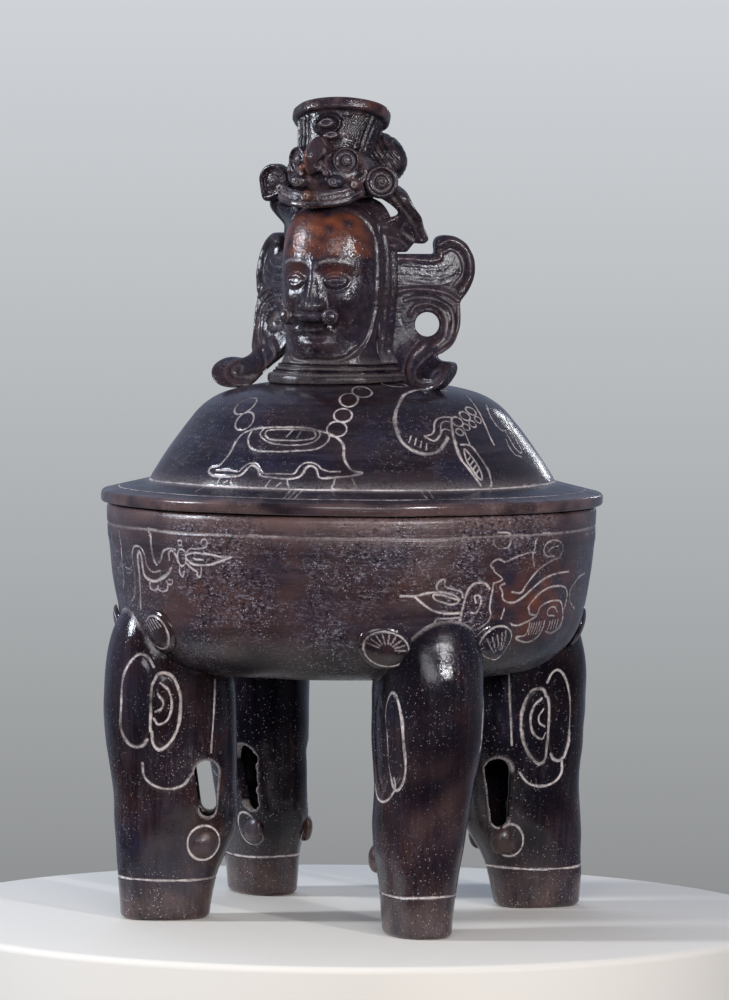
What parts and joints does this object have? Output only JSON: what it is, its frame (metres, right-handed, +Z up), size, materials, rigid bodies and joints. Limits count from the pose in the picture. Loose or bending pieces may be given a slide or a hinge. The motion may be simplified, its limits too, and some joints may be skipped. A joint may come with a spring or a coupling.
{
  "type": "lidded four-legged vase",
  "caption": "Wide burnished blackware bowl on hollow animal-head legs, with a domed lift-off lid whose handle is a hooded head under a beaked mask and crown.",
  "frame": {"origin": "on the ground, in the middle under the bowl", "axes": "+Z up through the middle of the bowl and lid; the head on the lid looks towards -Y"},
  "size_m": [0.28, 0.28, 0.4555],
  "materials": {
    "blackware": "burnished, soft gloss",
    "brownware": "burnished, soft gloss",
    "redware": "worn, satin"
  },
  "bodies": {
    "vessel": {"bowl": "blackware", "leg_front_right": "blackware", "leg_back_right": "blackware", "leg_back_left": "blackware", "leg_front_left": "blackware", "snout_boss_front_right_a": "brownware", "snout_boss_front_right_b": "brownware", "snout_boss_back_right_a": "brownware", "snout_boss_back_right_b": "brownware", "snout_boss_back_left_a": "brownware", "snout_boss_back_left_b": "brownware", "snout_boss_front_left_a": "brownware", "snout_boss_front_left_b": "brownware", "ear_front_right_a": "blackware", "ear_front_right_b": "blackware", "ear_back_right_a": "blackware", "ear_back_right_b": "blackware", "ear_back_left_a": "blackware", "ear_back_left_b": "blackware", "ear_front_left_a": "blackware", "ear_front_left_b": "blackware"},
    "lid": {"lid": "blackware", "neck_ring": "brownware", "head": "blackware", "hood_band": "blackware", "nose_bar": "blackware", "headdress_mask": "blackware", "mask_beak": "redware", "mask_jaw_band": "blackware", "mask_chin_bead": "redware", "crown": "brownware", "crown_jewel": "brownware", "crown_boss": "blackware", "pleated_bundle": "blackware", "nose_bead_right": "blackware", "nose_bead_left": "blackware", "side_scroll_right": "blackware", "side_scroll_left": "blackware", "strap_right": "blackware", "strap_left": "blackware", "mask_eye_right": "blackware", "mask_eye_left": "blackware", "mask_ear_right": "blackware", "mask_ear_left": "blackware", "mask_cheek_scroll_right": "blackware", "mask_cheek_scroll_left": "blackware", "mask_jaw_bead_right": "redware", "mask_jaw_bead_left": "redware"}
  },
  "joints": [
    {"name": "lid_lift", "type": "slide", "parent": "vessel", "child": "lid", "axis": [0, 0, 1], "range_m": [0, 0.12]}
  ]
}
